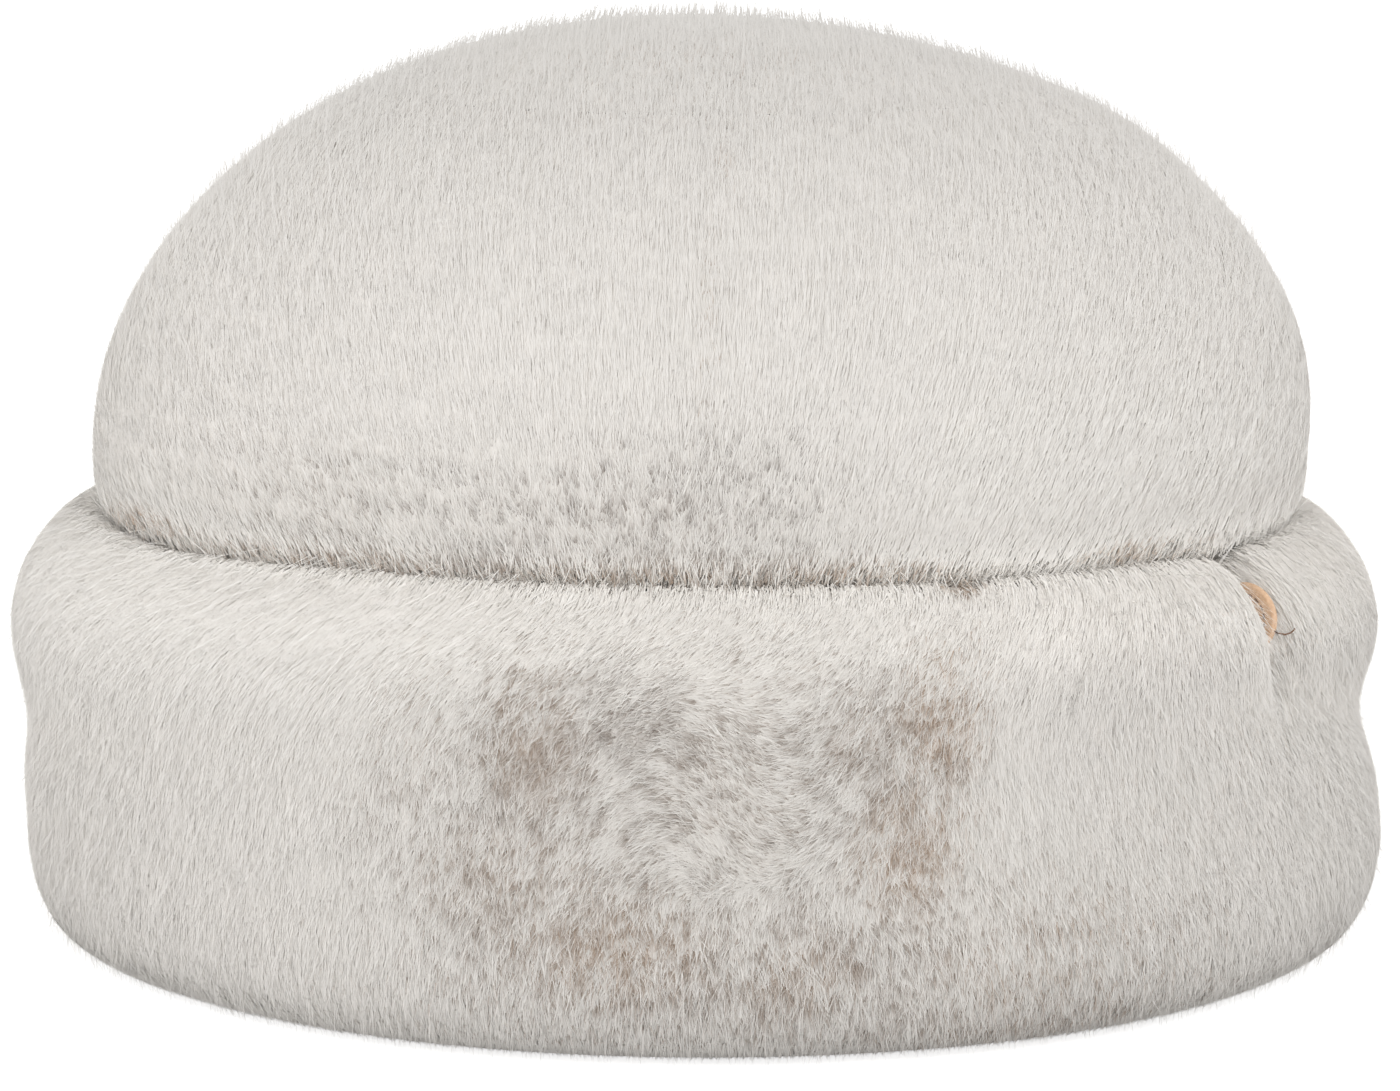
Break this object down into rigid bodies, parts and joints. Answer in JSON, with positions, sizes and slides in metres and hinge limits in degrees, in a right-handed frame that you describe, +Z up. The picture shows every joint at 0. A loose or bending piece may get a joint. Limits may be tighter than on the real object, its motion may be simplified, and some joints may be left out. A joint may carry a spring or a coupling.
{
  "type": "fur hat",
  "caption": "Ivory faux-fur hat with a domed crown, an oval tip, a deep turned-up fur cuff and a small leather tab in the cuff's seam.",
  "frame": {"origin": "centre of the hat's footprint on the surface it stands on", "axes": "+Z up through the crown, -Y towards the front seam, +X towards the side with the tab"},
  "size_m": [0.2392, 0.2514, 0.1615],
  "materials": {
    "crown_fur": "short dense ivory faux fur with taupe roots",
    "cuff_fur": "dense ivory faux fur with taupe roots, ruffled in front",
    "label_leather": "smooth tan leather, bare"
  },
  "bodies": {
    "root": {"crown_side_left": "crown_fur", "crown_side_right": "crown_fur", "crown_tip": "crown_fur", "cuff": "cuff_fur", "label": "label_leather"}
  },
  "joints": []
}
